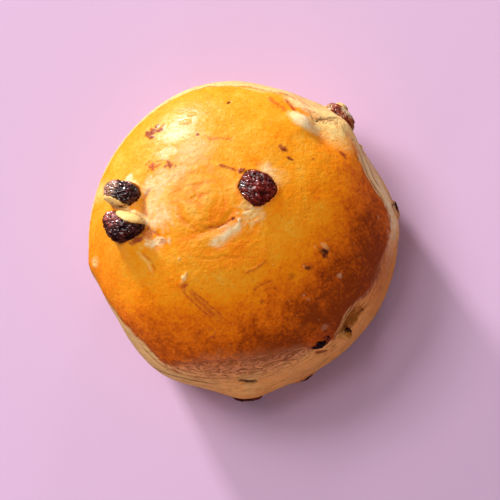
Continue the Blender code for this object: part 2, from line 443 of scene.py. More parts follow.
class Nodes:
    """A node tree under construction."""

    def __init__(self, tree: bpy.types.NodeTree) -> None:
        self.tree = tree

    def node(
        self,
        kind: str,
        settings: dict[str, Any] | None = None,
        inputs: dict[str | int, Any] | None = None,
        output: str | int = 0,
    ) -> Wire:
        """Adds a node.

        Args:
            kind: Blender's type name.
            settings: Properties of the node, which are set first; stops are a ramp's positions and colours.
            inputs: Values or wires, by socket name or number.
            output: The socket that is handed back.

        Returns:
            The chosen output.
        """
        made = self.tree.nodes.new(kind)
        for key, value in (settings or {}).items():
            if key == "stops":
                self._set_stops(made.color_ramp, value)
            else:
                setattr(made, key, value)
        for key, value in (inputs or {}).items():
            self.feed(made.inputs[key], value)
        return Wire(self, made.outputs[output])

    def _set_stops(self, ramp: bpy.types.ColorRamp, stops: Sequence[tuple[float, Colour]]) -> None:
        """Gives a ramp these stops."""
        while len(ramp.elements) < len(stops):
            ramp.elements.new(0.5)
        for element, (position, colour) in zip(ramp.elements, stops):
            element.position = position
            element.color = (*colour, 1.0)

    def feed(self, socket: bpy.types.NodeSocket, value: Any) -> None:
        """Links a wire to a socket, or sets the socket's value."""
        if isinstance(value, Wire):
            self.tree.links.new(value.socket, socket)
        elif isinstance(value, tuple) and socket.type == "RGBA":
            socket.default_value = (*value, 1.0)
        else:
            socket.default_value = value

    def math(self, operation: str, *values: Wire | float) -> Wire:
        """A Math node."""
        return self.node("ShaderNodeMath", {"operation": operation}, dict(enumerate(values)))

    def vector(self, operation: str, inputs: dict[str | int, Any], output: str = "Vector") -> Wire:
        """A Vector Math node."""
        return self.node("ShaderNodeVectorMath", {"operation": operation}, inputs, output)


class Recipe(Nodes):
    """The node tree of one material."""

    def __init__(self, name: str) -> None:
        self.material = bpy.data.materials.new(name)
        self.material.use_nodes = True
        super().__init__(self.material.node_tree)

    def finish(self, **values: Any) -> bpy.types.Material:
        """Feeds the Principled shader's sockets, named with underscores for spaces, and hands back the material."""
        for key, value in values.items():
            self.feed(self.tree.nodes["Principled BSDF"].inputs[key.replace("_", " ")], value)
        return self.material

    def place(self) -> Wire:
        """The object's own coordinates, in metres."""
        return self.node("ShaderNodeTexCoord", output="Object")

    def attribute(self, name: str, output: str = "Fac") -> Wire:
        """An attribute of the mesh."""
        return self.node("ShaderNodeAttribute", {"attribute_name": name}, output=output)

    def grain(self, size: float, vector: Wire, detail: float = 2.0, distortion: float = 0.0) -> Wire:
        """Noise from 0 to 1 with features of this size in metres."""
        inputs = {"Vector": vector, "Scale": 1.0 / size, "Detail": detail, "Distortion": distortion}
        return self.node("ShaderNodeTexNoise", {"noise_dimensions": "3D"}, inputs)

    def stretched(self, vector: Wire, scale: Colour) -> Wire:
        """A vector scaled on its three axes."""
        return self.node("ShaderNodeMapping", {"vector_type": "POINT"}, {"Vector": vector, "Scale": scale})

    def ramp(self, factor: Wire, stops: Sequence[tuple[float, Colour]]) -> Wire:
        """A colour ramp."""
        return self.node("ShaderNodeValToRGB", {"stops": stops}, {"Fac": factor})

    def blend(self, factor: Wire | float, first: Wire | Colour, second: Wire | Colour) -> Wire:
        """A mix of two colours, by the share of the second."""
        settings = {"data_type": "RGBA", "blend_type": "MIX", "clamp_factor": True}
        return self.node("ShaderNodeMix", settings, {0: factor, 6: first, 7: second}, output=2)

    def bump(self, height: Wire, distance: float) -> Wire:
        """A bent normal, where distance is what a height of 1 stands for, in metres."""
        inputs = {"Height": height, "Distance": distance, "Strength": 1.0}
        return self.node("ShaderNodeBump", {}, inputs, output="Normal")


class Growth(Nodes):
    """A Geometry Nodes tree, with named inputs of which one is the Skin material."""

    def __init__(self, name: str, sizes: Sequence[str], others: dict[str, str]) -> None:
        """Starts the tree, with these number inputs, and others whose kinds are given by name."""
        super().__init__(bpy.data.node_groups.new(name, "GeometryNodeTree"))
        kinds = {"Geometry": "Geometry", **dict.fromkeys(sizes, "Float"), **others, "Skin": "Material"}
        for title, kind in kinds.items():
            self.tree.interface.new_socket(title, in_out="INPUT", socket_type="NodeSocket" + kind)
        self.tree.interface.new_socket("Geometry", in_out="OUTPUT", socket_type="NodeSocketGeometry")
        self.start = self.tree.nodes.new("NodeGroupInput")
        self.end = self.tree.nodes.new("NodeGroupOutput")

    def __getitem__(self, name: str) -> Wire:
        """One of the tree's named inputs."""
        return Wire(self, self.start.outputs[name])

    def store(self, geometry: Wire, name: str, value: Wire | float) -> Wire:
        """Stores a number for each point."""
        settings = {"data_type": "FLOAT", "domain": "POINT"}
        inputs = {"Geometry": geometry, "Name": name, "Value": value}
        return self.node("GeometryNodeStoreNamedAttribute", settings, inputs)

    def close(self, geometry: Wire) -> "Growth":
        """Ends the tree with geometry that is smooth, real and in its Skin."""
        even = self.node("GeometryNodeSetShadeSmooth", {}, {"Geometry": geometry})
        whole = self.node("GeometryNodeRealizeInstances", {}, {"Geometry": even})
        skinned = self.node("GeometryNodeSetMaterial", {}, {"Geometry": whole, "Material": self["Skin"]})
        self.tree.links.new(skinned.socket, self.end.inputs[0])
        return self

    def apply(self, piece: bpy.types.Object, name: str, values: dict[str, Any]) -> bpy.types.Object:
        """Runs the tree on a piece, and bakes the result to a plain mesh in a new object.

        Args:
            piece: The object that the tree works on, which is removed.
            name: Name of the new object.
            values: The tree's inputs by name.

        Returns:
            The new object.
        """
        grown = piece.modifiers.new("growth", "NODES")
        grown.node_group = self.tree
        for item in self.tree.interface.items_tree:
            if item.in_out == "INPUT" and item.name in values:
                grown[item.identifier] = values[item.name]
        depsgraph = bpy.context.evaluated_depsgraph_get()
        mesh = bpy.data.meshes.new_from_object(
            piece.evaluated_get(depsgraph), preserve_all_data_layers=True, depsgraph=depsgraph
        )
        mesh.name = name
        bpy.data.objects.remove(piece)
        for vertex in mesh.vertices:
            vertex.co = Vector(np.clip(vertex.co, *CAD_BOX))
        return new_piece(name, mesh)


def new_piece(name: str, mesh: bpy.types.Mesh) -> bpy.types.Object:
    """An object in the scene with this mesh."""
    made = bpy.data.objects.new(name, mesh)
    bpy.context.scene.collection.objects.link(made)
    return made


def set_attribute(mesh: bpy.types.Mesh, name: str, values: Array) -> None:
    """Stores one number, or one vector, for each point of a mesh."""
    kind = "FLOAT_VECTOR" if values.ndim == 2 else "FLOAT"
    layer = mesh.attributes.new(name, kind, "POINT")
    layer.data.foreach_set("vector" if values.ndim == 2 else "value", values.astype(np.float32).ravel())


# ---- finishes


@dataclass(frozen=True)
class CrustFinish:
    """Egg-washed crust, golden to red-brown, with a pale stretched side, stains where raisins show through, and painted
    highlights and painted shade laid on by its tints.
    """

    bakes: tuple[tuple[float, Colour], ...] = (
        (0.00, (0.88, 0.42, 0.050)),
        (0.22, (0.90, 0.32, 0.010)),
        (0.45, (0.92, 0.245, 0.002)),
        (0.68, (0.76, 0.145, 0.002)),
        (0.86, (0.50, 0.078, 0.001)),
        (1.00, (0.29, 0.040, 0.001)),
    )
    tan: Colour = (0.95, 0.36, 0.085)
    pale: Colour = (0.92, 0.55, 0.21)
    blush: Colour = (0.92, 0.36, 0.15)
    streak: Colour = (0.33, 0.085, 0.022)
    # Pale dough, also used for painted highlights and lit faces.
    cream: Colour = (0.93, 0.63, 0.23)
    # Chalky white, also used for painted highlights, glints and painted light on shaded parts.
    bloom: Colour = (0.94, 0.70, 0.40)
    # Red-brown stain, also used for painted shade in grooves, pits and beside raisins.
    stain: Colour = (0.46, 0.065, 0.012)
    # Near-black scorch, also used for painted shade in pits and gaps.
    char: Colour = (0.050, 0.013, 0.006)
    foot: Colour = (0.45, 0.20, 0.06)
    olive: Colour = (0.40, 0.110, 0.003)

    def make(self) -> bpy.types.Material:
        """Builds the material."""
        r = Recipe("crust")
        place = r.place()
        side, bake, tone = r.attribute("side"), r.attribute("bake"), r.attribute("tone")
        flow = r.attribute("flow", output="Vector")

        speckle = r.grain(0.75 * MM, place, detail=1.5)
        pebble = r.grain(1.3 * MM, place, distortion=0.5)
        dapple = r.grain(3.0 * MM, place, distortion=0.6)
        cloud = r.grain(9.0 * MM, place)
        cap = 1.0 - side
        mottle = (speckle - 0.5) * 0.38 + (pebble - 0.5) * 0.30 + (dapple - 0.5) * 0.40 + (cloud - 0.5) * 0.50
        colour = r.ramp((bake + mottle * cap).limited(), self.bakes)
        pores = r.grain(0.9 * MM, r.stretched(place, (1.0, 1.0, 1.7)), detail=1.0).step(0.66, 0.74) * cap
        colour = r.blend(pores * 0.28, colour, self.stain)

        along, short = 1 / (6 * MM), 1 / (0.8 * MM)
        threads = self.lines(r.grain(1.0, r.stretched(flow, (along, along, short)), distortion=0.8), 0.03)
        wavy = r.stretched(flow, (along, along, 1 / (2.4 * MM)))
        wrinkles = self.lines(r.grain(1.0, wavy, distortion=1.6), 0.07) * (side * cap * 4.0)
        pale = r.blend((tone + (dapple - 0.5) * 0.6).limited(), self.tan, self.pale)
        pale = r.blend((threads * (cloud - 0.35) * 2.5).limited(0.0, 0.7), pale, self.streak)
        turn = (side * 1.35 - 0.1 + (pebble - 0.5) * 1.6 * side).limited()
        colour = r.blend(turn, colour, r.blend((side * 2.2 - 1.2).limited(), self.blush, pale))
        colour = r.blend((wrinkles * (dapple * 2.0 - 0.05)).limited(0.0, 0.9), colour, self.streak)
        colour = r.blend(r.attribute("foot"), colour, self.foot)
        # Each tint lays its colour where its attribute says: pale dough, stains and scorching, and with them painted
        # highlights and painted shade.
        for name in TINTS:
            tint = r.attribute(name)
            patchy = 1.0 + (speckle - 0.5) * 1.5 + (pebble - 0.5) * 1.2 + (dapple - 0.5) * 1.2 - pores * 0.5
            colour = r.blend((tint * patchy).limited(0.0, 0.95), colour, getattr(self, name))

        height = pebble * 0.6 + speckle * 0.6 - pores * 0.3 - (threads * side + wrinkles) * 0.6
        rough = 0.42 + (pebble - 0.5) * 0.35 + side * 0.12
        return r.finish(
            Base_Color=colour,
            Roughness=rough.limited(0.25, 0.8),
            Coat_Weight=(0.05 + speckle * 0.22 - side * 0.06 - r.attribute("bloom") * 0.6).limited(),
            Coat_Roughness=0.26,
            Coat_IOR=1.45,
            Specular_IOR_Level=0.09,
            Subsurface_Weight=0.05,
            Subsurface_Radius=(0.9, 0.35, 0.10),
            Subsurface_Scale=1.0 * MM,
            Normal=r.bump(height, 0.20 * MM),
        )

    def lines(self, noise_wire: Wire, width: float) -> Wire:
        """Thin lines where noise passes its middle value."""
        return 1.0 - noise_wire.ridged().step(0.0, width)


@dataclass(frozen=True)
class RaisinFinish:
    """Wrinkled raisin skin: near black in its creases, partly painted shade, wine red on its ridges, glossy, with
    flecks of dough on it and a lighter patch about one point, which is a painted highlight on some raisins and a dough
    film on another.
    """

    name: str = "raisin_skin"
    # Colour low in the folds: the skin's dark creases, with painted shade in them.
    crease: Colour = (0.007, 0.002, 0.002)
    skin: Colour = (0.040, 0.007, 0.009)
    ridge: Colour = (0.24, 0.042, 0.028)
    fleck: Colour = (0.72, 0.46, 0.25)
    flecked: float = 0.0
    # A lighter patch about a point. On the pink and purple raisins it is a painted highlight on the ridges of the side
    # towards the lamps. On the brown raisin it is a film of dough.
    flush: Colour = (0.45, 0.12, 0.10)
    flush_at: Colour = (0.0, 0.0, 0.0)
    flush_reach: float = 0.1 * MM

    def make(self) -> bpy.types.Material:
        """Builds the material."""
        r = Recipe(self.name)
        place = r.place()
        fold = r.attribute("fold")
        blotch = r.grain(3.0 * MM, place, detail=1.0)
        grit = r.grain(0.34 * MM, place)
        # Darker where the fold value is low: painted crease shade, mixed with blotchy tone.
        stops = ((0.12, self.crease), (0.45, self.skin), (0.92, self.ridge))
        colour = r.ramp(fold * 0.75 + (blotch - 0.5) * 1.1 + 0.10, stops)
        rare = 0.78 - 0.35 * self.flecked
        flecks = (blotch + (grit - 0.5) * 0.5 + fold * 0.25).step(rare, rare + 0.10)
        # The lighter patch, on the ridges: a painted highlight on some raisins, a dough film on another.
        away = r.vector("DISTANCE", {0: place, 1: self.flush_at}, "Value") + (blotch - 0.5) * 3 * MM
        film_and_highlight_share = 1.0 - away.step(0.6 * self.flush_reach, 1.1 * self.flush_reach)
        colour = r.blend((film_and_highlight_share * (fold * 2.2 - 0.35)).limited(0.0, 0.95), colour, self.flush)
        colour = r.blend(flecks * min(1.0, 3 * self.flecked), colour, self.fleck)
        creases = 1.0 - r.grain(0.5 * MM, place, distortion=1.0).ridged().step(0.0, 0.16)
        return r.finish(
            Base_Color=colour,
            Roughness=(0.38 + (blotch - 0.5) * 0.2 + flecks * 0.3 * self.flecked).limited(0.2, 0.8),
            Coat_Weight=(0.35 + blotch * 0.6).limited(),
            Coat_Roughness=0.09,
            Coat_IOR=1.7,
            Specular_IOR_Level=0.2,
            Normal=r.bump(grit * 0.7 - creases * 0.5, 0.24 * MM),
        )


@dataclass(frozen=True)
class PlainFinish:
    """One even colour, for the floor."""

    name: str
    colour: Colour
    roughness: float = 0.9

    def make(self) -> bpy.types.Material:
        """Builds the material."""
        return Recipe(self.name).finish(Base_Color=self.colour, Roughness=self.roughness, Specular_IOR_Level=0.1)


# ---- raisins


class RaisinKind(Enum):
    """How a raisin looks."""

    DARK = RaisinFinish()
    BLACK = RaisinFinish("raisin_skin_black", ridge=(0.060, 0.018, 0.022), skin=(0.022, 0.006, 0.009))
    # The pink and purple raisins' patches are painted highlights on their ridges on the side towards the lamps.
    PINK = RaisinFinish(
        "raisin_skin_pink", flush=(0.66, 0.30, 0.19), flush_at=(-0.0335, 0.0095, 0.0465), flush_reach=3.9 * MM
    )
    PURPLE = RaisinFinish(
        "raisin_skin_purple", flush=(0.55, 0.12, 0.10), flush_at=(-0.0315, 0.0012, 0.048), flush_reach=4.2 * MM
    )
    RED = RaisinFinish("raisin_skin_red", (0.020, 0.001, 0.001), (0.160, 0.008, 0.006), (0.38, 0.040, 0.022))
    BROWN = RaisinFinish(
        "raisin_skin_brown", (0.05, 0.006, 0.004), (0.40, 0.060, 0.016), (0.74, 0.26, 0.08), flecked=0.2,
        flush=(0.92, 0.66, 0.38), flush_at=(0.0358, 0.0352, 0.0240), flush_reach=2.4 * MM,
    )


@dataclass(frozen=True)
class RaisinLook:
    """What sets a raisin apart from the others.

    Lengths are in millimetres. Cover is how far the dough climbs over its rim. Seed picks its wrinkles. Outline gives
    how far it reaches at angles in degrees, seen from outside with the x axis to the right, and shift moves it.
    """

    kind: RaisinKind = RaisinKind.DARK
    cover: float = 0.25
    seed: float = 0.0
    lump: float = 0.5
    outline: tuple[tuple[float, float], ...] = ()
    shift: tuple[float, float, float] = (0.0, 0.0, 0.0)

    def reshaped(self, points: Array, middle: Array, outward: Array) -> Array:
        """A raisin's points, drawn out or in to the outline, and shifted.

        Args:
            points: Its points.
            middle: Its middle.
            outward: Direction out of the bun here.

        Returns:
            New points.
        """
        moved = np.array(self.shift) * MM
        if not self.outline:
            return points + moved
        right = unit(np.array([1.0, 0.0, 0.0]) - outward[0] * outward)
        up = np.cross(outward, right)
        offset = points - middle
        level, rise = offset @ right, offset @ up
        angle, reach = np.degrees(np.arctan2(rise, level)), np.hypot(level, rise)
        turns, sector = np.arange(0, 360, 15), 12
        near = np.abs((angle[:, None] - turns + 180) % 360 - 180) < sector
        now = np.interp(angle % 360, turns, (near * reach[:, None]).max(axis=0), period=360)
        wanted = MM * np.interp(angle % 360, *(np.array(row) for row in zip(*self.outline)), period=360)
        grow = (wanted / now - 1.0)[:, None]
        return points + grow * (level[:, None] * right + rise[:, None] * up) + moved


RAISIN_LOOKS: dict[str, RaisinLook] = {
    "raisin_left_upper": RaisinLook(RaisinKind.PINK, seed=4, shift=(0.2, -0.6, 0)),
    "raisin_left_lower": RaisinLook(RaisinKind.PURPLE, seed=9, shift=(0.6, 0, 0)),
    "raisin_centre": RaisinLook(
        RaisinKind.RED,
        0.15,
        2,
        outline=(
            (357, 5.7), (20, 5.3), (44, 5.1), (72, 5), (100, 5.9), (115, 6.8), (140, 6.5), (158, 5.9), (173, 7),
            (200, 5.8), (235, 5.8), (267, 7), (290, 5.9), (309, 5.4), (335, 5.9),
        ),
        shift=(0, 0, -0.4),
    ),
    "raisin_back_right": RaisinLook(RaisinKind.BROWN, seed=6, shift=(0.2, -0.9, 0)),
    "raisin_front_right": RaisinLook(RaisinKind.BLACK, 1.5, 1, shift=(-0.3, 0.3, 1)),
    "raisin_scoop": RaisinLook(RaisinKind.BLACK, 9, 5, shift=(-0.6, -0.4, 0)),
    "raisin_front_right_foot": RaisinLook(RaisinKind.BLACK, 0.5, 12, shift=(-0.8, 0.7, 0)),
    "raisin_front_foot": RaisinLook(seed=11, shift=(-1.1, 0.4, 0)),
    "raisin_right": RaisinLook(cover=1, seed=3, shift=(-1.1, 0, 0)),
    "raisin_back": RaisinLook(cover=1.4, seed=7, shift=(0.1, -1.2, -0.6)),
    "raisin_back_left": RaisinLook(cover=0.8, seed=8),
}


@dataclass(frozen=True)
class Pocket:
    """A raisin as the dough meets it: a search tree of its smooth skin, its middle and how far dough covers it."""

    skin: BVHTree
    middle: Vector
    cover: float


@dataclass
class Raisins:
    """Every raisin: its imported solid, rounded by subdivision and wrinkled by one Geometry Nodes tree."""

    levels: int = 3
    fold_size: float = 1.4 * MM
    fold_depth: float = 0.52 * MM
    wrinkle_size: float = 0.48 * MM
    wrinkle_depth: float = 0.24 * MM
    lump_size: float = 5.0 * MM
    swell: float = 0.22 * MM
    stretch: float = 0.55

    def smooth_copy(self, node: str, look: RaisinLook) -> bpy.types.Object:
        """A merged, subdivided copy of a packed raisin.

        Args:
            node: The node's name.
            look: How the raisin looks.

        Returns:
            A new object.
        """
        body = bmesh.new()
        body.from_mesh(bpy.data.objects[node].data)
        bmesh.ops.remove_doubles(body, verts=body.verts, dist=1e-6)
        flat, square = math.radians(40), math.radians(60)
        bmesh.ops.join_triangles(body, faces=body.faces, angle_face_threshold=flat, angle_shape_threshold=square)
        middle = np.mean(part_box(node), axis=0)
        azimuth = math.atan2(middle[1], middle[0])
        polar = math.atan2(math.hypot(middle[0], middle[1]), middle[2])
        outward = BunForm().normals(direction(math.degrees(azimuth), math.degrees(polar))[None])[0]
        points = look.reshaped(np.array([v.co for v in body.verts]), middle, outward)
        for vertex, point in zip(body.verts, points):
            vertex.co = point
        mesh = bpy.data.meshes.new(node + "_skin")
        body.to_mesh(mesh)
        body.free()
        made = new_piece(node + "_skin", mesh)
        rounding = made.modifiers.new("rounding", "SUBSURF")
        rounding.levels = rounding.render_levels = self.levels
        return made

    def sizes(self) -> dict[str, float]:
        """The tree's number inputs that all raisins share, named after the fields."""
        return {name.replace("_", " ").title(): value for name, value in vars(self).items() if name != "levels"}

    def length_axis(self, mesh: bpy.types.Mesh) -> Vector:
        """The direction in which a raisin is longest."""
        points = np.array([v.co for v in mesh.vertices])
        return Vector(np.linalg.eigh(np.cov(points.T))[1][:, -1])

    def tree(self) -> Growth:
        """The wrinkles: ridged noise, drawn out along the raisin, that moves the skin along its normal."""
        g = Growth("raisin_wrinkles", (*self.sizes(), "Lump Depth", "Seed"), {"Length Axis": "Vector"})
        place, axis = g.node("GeometryNodeInputPosition"), g["Length Axis"]
        along = g.vector("DOT_PRODUCT", {0: place, 1: axis}, "Value")
        drawn = g.vector("SCALE", {0: axis, "Scale": along * g["Stretch"]})
        grain = g.vector("SUBTRACT", {0: place, 1: drawn})

        def cloud(size: str, detail: float, distortion: float, shift: float) -> Wire:
            """Noise at this named size."""
            inputs = {"Vector": grain, "W": g["Seed"] + shift, "Scale": 1.0 / g[size], "Detail": detail}
            return g.node("ShaderNodeTexNoise", {"noise_dimensions": "4D"}, {**inputs, "Distortion": distortion})

        def ridges(size: str, detail: float, distortion: float, shift: float) -> Wire:
            """Ridged noise from 0, in a valley, to 1 on a crest."""
            return (cloud(size, detail, distortion, shift).ridged() * 5.5).math("MINIMUM", 1.0)

        folds = ridges("Fold Size", 0.6, 0.8, 0.0) ** 0.6
        wrinkles = ridges("Wrinkle Size", 1.0, 0.6, 7.3)
        lump = (cloud("Lump Size", 0.0, 0.3, 3.7) - 0.5) * (g["Lump Depth"] * 3.0)
        rise = (folds - 1.0) * g["Fold Depth"] + (wrinkles - 0.7) * g["Wrinkle Depth"] + lump + g["Swell"]
        offset = g.vector("SCALE", {0: g.node("GeometryNodeInputNormal"), "Scale": rise})
        marked = g.store(g["Geometry"], "fold", folds * 0.7 + wrinkles * 0.3)
        return g.close(g.node("GeometryNodeSetPosition", {}, {"Geometry": marked, "Offset": offset}))

    def build(self) -> list[Pocket]:
        """Makes every raisin.

        Returns:
            A pocket for each.
        """
        skins = {kind: kind.value.make() for kind in RaisinKind}
        tree = self.tree()
        pockets = []
        for node, look in sorted(RAISIN_LOOKS.items()):
            smooth_skin = self.smooth_copy(node, look)
            skin = BVHTree.FromObject(smooth_skin, bpy.context.evaluated_depsgraph_get())
            low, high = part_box(node)
            pockets.append(Pocket(skin, (Vector(low) + Vector(high)) / 2, look.cover * MM))
            values = {"Lump Depth": look.lump * MM, "Seed": float(look.seed), "Skin": skins[look.kind]}
            values = {**self.sizes(), **values, "Length Axis": self.length_axis(smooth_skin.data)}
            piece = tree.apply(smooth_skin, node + "_wrinkled", values)
            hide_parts(node)
            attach(piece, "root")
            log.info("%s: %d faces", piece.name, len(piece.data.polygons))
        return pockets


# ---- dough


SWELLS: tuple[Swell, ...] = (
    Swell(150, 12, 14, 11, 0.7, 20),
    Swell(120, 78, 30, 16, -0.4),
    Swell(165, 82, 14, 14, -0.3),
    Swell(16, 86, 8, 12, -0.7),
    Swell(40, 88, 8.8, 4.8, 2.4),
    Swell(40, 75, 9, 4.2, -1.2),
    Swell(68, 84, 5, 5, 0.6),
    Swell(12, 85, 5, 8, -0.4),
    Swell(206, 88, 5, 8, 0.6),
    Swell(243, 95, 13, 9, 1.2),
    Swell(272, 110, 8, 6, 2.6),
    Swell(358, 104, 5.5, 5, 1.1),
    Swell(192, 92, 5, 6, 1.2),
    Swell(49, 71, 4.4, 2.7, 1.7, 5),
    Swell(40, 88, 8, 2.8, 1, 12),
    Swell(52, 88, 6, 3.5, -1),
    Swell(320.5, 95, 5.2, 3.6, -1.8),
    Swell(331, 103, 6, 4, 0.3),
    Swell(328, 104, 17, 13, -0.9),
    Swell(18, 98, 11, 10, -0.8),
    Swell(174, 60, 11, 6, 1.1),
    Swell(178, 48, 3.2, 2.6, 1.3),
    Swell(196, 54, 5, 3.4, 1.5),
    Swell(24, 29, 8, 7, 0.3),
    Swell(60, 97, 6, 5, -0.6),
    Swell(140, 100, 12, 7, 0.5),
)
STROKES: tuple[Stroke, ...] = (
    # The fold in the crown: its groove is darkened with painted shade. The face of the lip beyond it, towards the
    # lamps, carries a painted highlight with a brighter painted line along it.
    Stroke((227, 13, 266, 11, 298, 11.5, 325, 13, 338, 15.5), 0.45, -0.3, stain=0.75),
    Stroke((340, 17.5, 327, 19.5, 299, 18, 269, 20.5, 258, 23), 1.3, 0.06, bloom=0.85, cream=0.6, wobble=0.9),
    Stroke((341, 15.5, 336, 18, 325, 19.5, 310, 18.5), 0.35, 0.15, bloom=0.95),
    Stroke((352, 23.5, 349, 20.5, 345, 17.5), 0.3, 0.12, bloom=0.6),
    Stroke((3, 24, 0, 20.5), 0.35, -0.12, stain=0.5),
    Stroke((11, 24, 10, 20, 5, 16.5), 0.45, 0.12, cream=0.6),
    Stroke((356, 24, 354, 19), 0.35, -0.12, stain=0.55),
    Stroke((158, 29, 147, 25, 118, 18, 78, 17), 0.7, -0.12, stain=0.28, wobble=0.9),
    Stroke((166, 23, 155, 15, 120, 11, 70, 9), 0.6, -0.1, stain=0.22, wobble=1),
    Stroke((176, 26, 190, 20, 215, 17, 250, 16), 0.6, -0.1, stain=0.25, wobble=1),
    Stroke((50, 77, 46.6, 80, 43, 84, 41, 88), 0.3, -0.15, stain=0.7, char=0.2),
    # A pale band along the upper right side, lightened further with painted light where this side is in shade.
    Stroke((36, 89, 29, 90.5, 22, 91.5, 14, 95, 6, 99, 1, 100), 1.2, 0.1, bloom=0.95, wobble=0.5),
    Stroke((34, 91, 26, 92.5, 18, 94.5, 10, 98.5), 0.3, -0.15, stain=0.5, char=0.5, wobble=0.6),
    Stroke((200, 51.5, 212, 49.5, 223, 51), 0.35, 0.2, cream=0.45),
    Stroke((203, 49.5, 213, 47.5, 224, 49), 0.3, -0.15, stain=0.6),
    Stroke((245, 45, 257.5, 51, 266.5, 56.5, 274, 63), 0.95, 0.12, stain=0.55),
    Stroke((243, 48, 255, 52.5, 264.5, 57.8, 270, 62), 0.24, -0.15, stain=0.9, wobble=0.3),
    Stroke((248, 45.5, 260, 50, 269, 55.5, 276, 62), 0.24, -0.15, stain=0.9, wobble=0.3),
    Stroke((102, 49, 93.5, 43.5, 83, 44, 72, 43.5), 0.32, -0.18, stain=0.6, wobble=0.6),
    Stroke((88.5, 27.5, 72.5, 27, 55.5, 27.5), 0.45, 0.12, stain=1, char=0.08, wobble=0.5),
    Stroke((292, 40.5, 302, 42.5, 313, 43, 314.5, 40), 0.38, 0.2, stain=0.7, wobble=0.6),
    Stroke((292, 50.5, 301, 51, 310.5, 52.5), 0.32, -0.18, stain=0.7, wobble=0.6),
    Stroke((293.5, 53.5, 302.5, 54, 309, 56), 0.28, -0.12, stain=0.5, wobble=0.6),
    Stroke((255, 68, 261.5, 64.5, 268.5, 63.5), 0.4, 0.14, stain=0.3, wobble=0.6),
    # Grooves to the right of the upper-left raisin are darkened with painted shade. Over the left of the crown lies a
    # broad whitish haze of painted highlight, partly pale dough.
    Stroke((155, 41, 159, 43, 167, 45, 177, 43, 184, 41), 0.8, -0.35, stain=0.5, wobble=0.5),
    Stroke((184, 44, 190, 41.5, 198, 38, 205, 35), 0.4, -0.2, stain=0.8, wobble=0.5),
    Stroke((147, 35, 162, 40, 176, 39, 187, 34), 2.6, bloom=0.5, wobble=1.8),
    Stroke((150, 38, 132, 33, 108, 27.5, 79, 27.5, 57, 27), 1.2, 0.14, wobble=1),
    Stroke((239, 30.5, 284, 29, 316, 40), 0.4, -0.1, stain=0.22, wobble=0.8),
    Stroke((99, 46, 91, 43.5, 82, 43.5, 75, 46), 0.4, -0.12, stain=0.25),
    Stroke((352, 25, 349, 30, 338, 24), 0.6, 0.12, bloom=0.3, wobble=0.8),
    # The lower-left edge of the cap: a thin raised line with a painted highlight along it, and a groove inside it
    # darkened with painted shade.
    Stroke((226, 83, 235.5, 85.5, 243, 88.5, 250, 88), 0.26, 0.2, cream=0.8, wobble=0.3),
    Stroke((224, 81.5, 236, 83.8, 244, 86.7, 251, 85.7), 0.28, -0.15, stain=0.9, wobble=0.3),
    Stroke((229, 86, 237, 88, 245, 90.5, 254, 89.5), 0.25, -0.15, stain=0.7, char=0.3, wobble=0),
    Stroke((228, 95, 236, 97.5, 243, 95, 251.5, 93.5, 259, 94.5, 267, 94.5), 0.36, -0.25, char=0.85, wobble=0.3),
    Stroke((241, 92, 250, 90.5, 260, 90.5, 270, 91), 0.25, -0.12, stain=0.6, wobble=0.5),
    Stroke((271, 92, 275, 94.5, 279.5, 96), 0.8, -0.5, char=1, wobble=0.3),
    Stroke((326, 86.5, 320.5, 87.5, 314, 91, 309, 94), 0.26, 0.35, bloom=0.4, cream=0.6, wobble=0.3),
    Stroke((325, 89.3, 321, 90.2, 315.5, 93.4, 311, 96), 0.2, 0.2, cream=0.8, wobble=0.3),
    # Pale raised strands along the upper right side, lightened further with painted light where this side is in shade,
    # with dark lines between them.
    Stroke((33, 87, 28, 87, 19, 87, 10.5, 91, 2, 97), 0.3, 0.3, bloom=0.9),
    Stroke((31, 88.7, 27, 89, 18.5, 89.3, 10.5, 93, 3, 98.5), 0.3, -0.25, char=0.8, wobble=0.5),
    Stroke((34, 93, 27, 92.3, 18.5, 92.3, 10.5, 96), 0.35, 0.2, bloom=0.6, wobble=0.6),
    Stroke((36, 96, 27, 95, 18, 94.5, 9, 97), 0.35, -0.2, char=0.55, wobble=0.6),
    Stroke((342, 93, 336, 93, 331, 92), 0.3, -0.2, char=0.4, wobble=0.5),
    Stroke((47.5, 76, 46, 80, 44.5, 84, 41.5, 88.5), 0.36, -0.3, char=0.85, wobble=0.5),
    Stroke((72, 76.5, 63.5, 71.5, 57, 69.5), 0.9, 0.25, stain=0.6, wobble=0.7),
    Stroke((64, 78.5, 58, 75, 54, 72.5), 0.6, -0.35, stain=0.85, wobble=0.5),
    Stroke((84, 82, 74, 80, 66, 79, 60, 78), 0.3, -0.2, stain=0.5, wobble=0.6),
)
